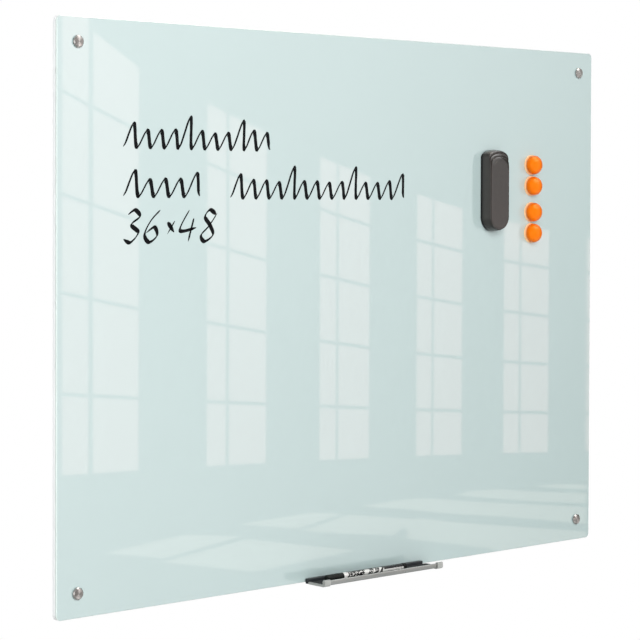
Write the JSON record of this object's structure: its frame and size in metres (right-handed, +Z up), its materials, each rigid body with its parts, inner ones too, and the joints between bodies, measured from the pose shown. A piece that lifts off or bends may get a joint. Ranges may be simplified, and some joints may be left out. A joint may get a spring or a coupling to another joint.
{
  "type": "glass whiteboard",
  "caption": "Back-coated glass whiteboard on round wall standoffs, with button magnets, a felt eraser and a marker tray that slide or pull off.",
  "frame": {"origin": "on the wall plane, midway between the four standoffs", "axes": "+X along the board to the right as a reader sees it, +Y into the wall, +Z up"},
  "size_m": [1.2192, 0.1075, 0.9163],
  "materials": {
    "glass": "tempered, polished, ground edges",
    "white_steel": "white enamel",
    "foam_board": "white foamed board, matt",
    "turned_steel": "turned stainless steel",
    "screw_steel": "zinc plate",
    "clear_vinyl": "clear",
    "nylon": "natural",
    "eraser_abs": "satin charcoal",
    "eraser_felt": "wool felt",
    "ferrite": "fired, unpolished",
    "orange_abs": "glossy",
    "peach_abs": "glossy",
    "nickel": "nickel plate",
    "tray_aluminium": "satin anodised",
    "rail_abs": "black, fine texture",
    "strip_magnet": "matt",
    "mat_rubber": "matt",
    "trim_abs": "silver-grey satin",
    "marker_black": "glossy black",
    "marker_white": "satin white",
    "marker_fibre": "inked fibre"
  },
  "bodies": {
    "board": {"glass_panel": "glass", "steel_sheet": "white_steel", "backing_board": "foam_board", "standoff_barrel_top_left": "turned_steel", "standoff_barrel_top_right": "turned_steel", "standoff_barrel_bottom_left": "turned_steel", "standoff_barrel_bottom_right": "turned_steel", "standoff_cap_top_left": "turned_steel", "standoff_cap_top_right": "turned_steel", "standoff_cap_bottom_left": "turned_steel", "standoff_cap_bottom_right": "turned_steel", "wall_screw_top_left": "screw_steel", "wall_screw_top_right": "screw_steel", "wall_screw_bottom_left": "screw_steel", "wall_screw_bottom_right": "screw_steel", "front_washer_top_left": "clear_vinyl", "front_washer_top_right": "clear_vinyl", "front_washer_bottom_left": "clear_vinyl", "front_washer_bottom_right": "clear_vinyl", "rear_washer_top_left": "clear_vinyl", "rear_washer_top_right": "clear_vinyl", "rear_washer_bottom_left": "clear_vinyl", "rear_washer_bottom_right": "clear_vinyl", "sleeve_top_left": "nylon", "sleeve_top_right": "nylon", "sleeve_bottom_left": "nylon", "sleeve_bottom_right": "nylon"},
    "eraser": {"eraser_shell": "eraser_abs", "eraser_felt_pad": "eraser_felt", "eraser_magnet_bar": "ferrite"},
    "magnet_1": {"magnet_cap_1": "orange_abs", "magnet_base_1": "peach_abs", "magnet_disc_1": "nickel"},
    "magnet_2": {"magnet_cap_2": "orange_abs", "magnet_base_2": "peach_abs", "magnet_disc_2": "nickel"},
    "magnet_3": {"magnet_cap_3": "orange_abs", "magnet_base_3": "peach_abs", "magnet_disc_3": "nickel"},
    "magnet_4": {"magnet_cap_4": "orange_abs", "magnet_base_4": "peach_abs", "magnet_disc_4": "nickel"},
    "tray": {"tray_rail": "rail_abs", "tray_magnet_strip": "strip_magnet", "tray_channel": "tray_aluminium", "tray_mat": "mat_rubber", "tray_end_left": "trim_abs", "tray_end_right": "trim_abs"},
    "marker": {"marker_collar": "marker_white", "marker_barrel": "marker_white", "marker_nib": "marker_fibre", "marker_reservoir": "marker_fibre", "marker_end_plug": "marker_black"},
    "marker_cover": {"marker_cap": "marker_black"}
  },
  "joints": [
    {"name": "eraser_wipe", "type": "slide", "parent": "board", "child": "eraser", "axis": [1, 0, 0], "range_m": [-0.87, 0.04]},
    {"name": "magnet_1_pull", "type": "slide", "parent": "board", "child": "magnet_1", "axis": [0, -1, 0], "range_m": [0, 0.05]},
    {"name": "magnet_2_pull", "type": "slide", "parent": "board", "child": "magnet_2", "axis": [0, -1, 0], "range_m": [0, 0.05]},
    {"name": "magnet_3_pull", "type": "slide", "parent": "board", "child": "magnet_3", "axis": [0, -1, 0], "range_m": [0, 0.05]},
    {"name": "magnet_4_pull", "type": "slide", "parent": "board", "child": "magnet_4", "axis": [0, -1, 0], "range_m": [0, 0.05]},
    {"name": "tray_slide", "type": "slide", "parent": "board", "child": "tray", "axis": [1, 0, 0], "range_m": [-0.49, 0.43]},
    {"name": "marker_lift", "type": "slide", "parent": "tray", "child": "marker", "axis": [0, 0, 1], "range_m": [0, 0.06]},
    {"name": "marker_cap_pull", "type": "slide", "parent": "marker", "child": "marker_cover", "axis": [-1, 0, 0], "range_m": [0, 0.045]}
  ]
}
